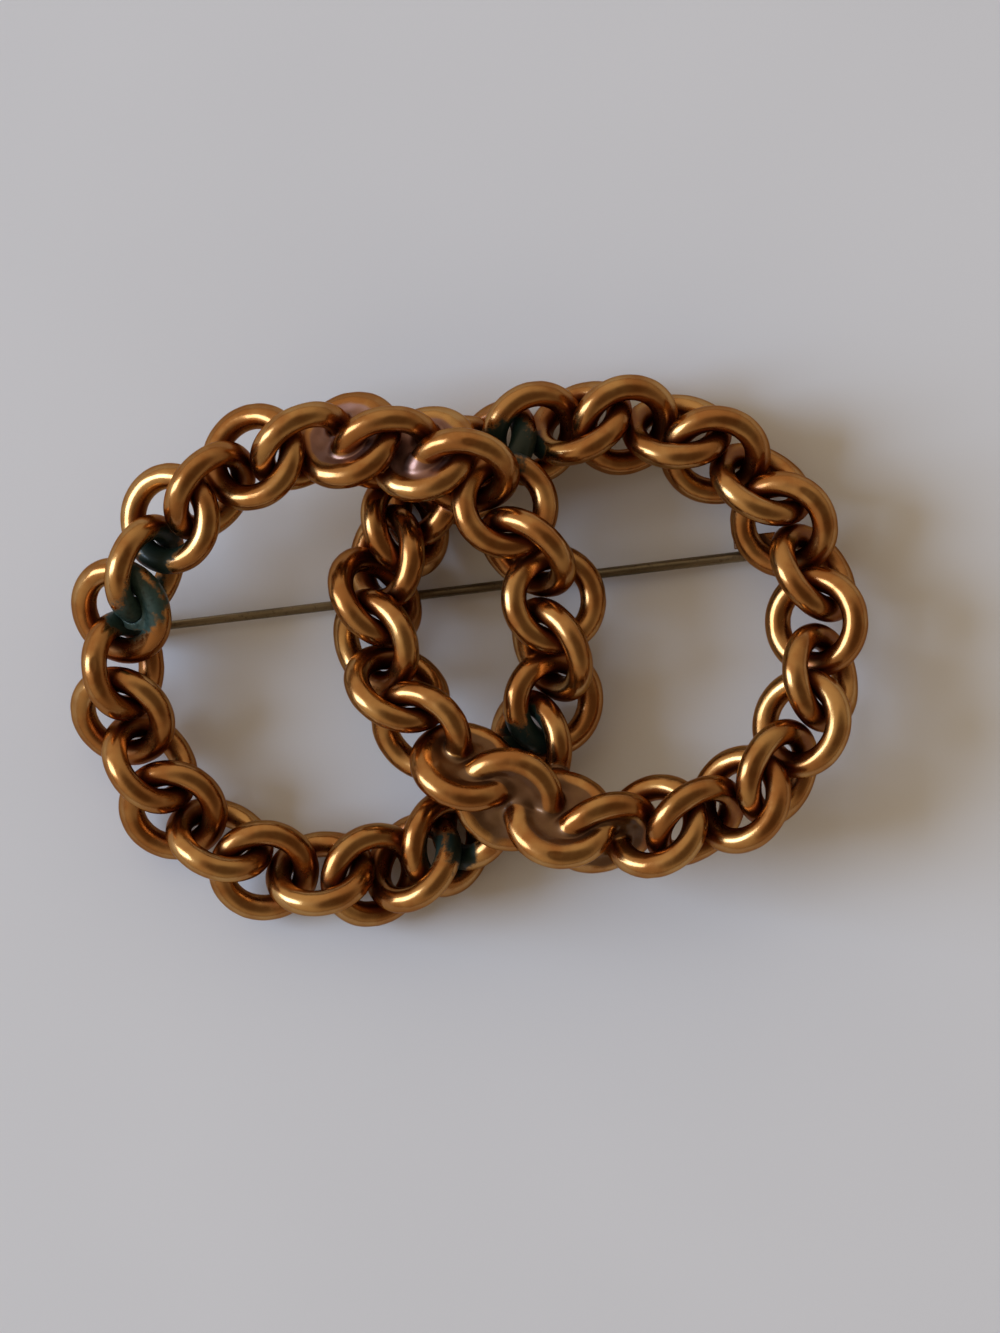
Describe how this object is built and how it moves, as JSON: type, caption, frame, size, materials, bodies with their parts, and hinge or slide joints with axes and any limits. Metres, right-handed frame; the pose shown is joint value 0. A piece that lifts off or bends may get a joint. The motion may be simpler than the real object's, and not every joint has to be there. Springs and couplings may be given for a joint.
{
  "type": "circle brooch",
  "caption": "Brooch of two interlinked circles of round-wire chain links, with a hinged pin stem and a catch behind them.",
  "frame": {"origin": "centre of the bounding box in plan, at the height of the surface the brooch lies on", "axes": "+X along the line from the left ring's centre to the right ring's, +Y up in the front view, +Z out of the brooch's face, away from the surface"},
  "size_m": [0.0602, 0.04, 0.014],
  "materials": {
    "chain_metal": "polished, worn rolled gold",
    "soldered_metal": "polished, with duller solder",
    "fitting_metal": "worn satin",
    "stem_metal": "dull, tarnished"
  },
  "bodies": {
    "brooch": {"ring_left": "chain_metal", "ring_right": "chain_metal", "crossing_top": "soldered_metal", "crossing_bottom": "soldered_metal", "hinge": "fitting_metal", "catch": "fitting_metal"},
    "pin": {"pin_stem": "stem_metal"}
  },
  "joints": [
    {"name": "pin_swing", "type": "hinge", "parent": "brooch", "child": "pin", "pos_m": [0.024, 0.00515, 0.0011], "axis": [0.0213, -0.9998, 0], "range_deg": [0, 100]}
  ]
}
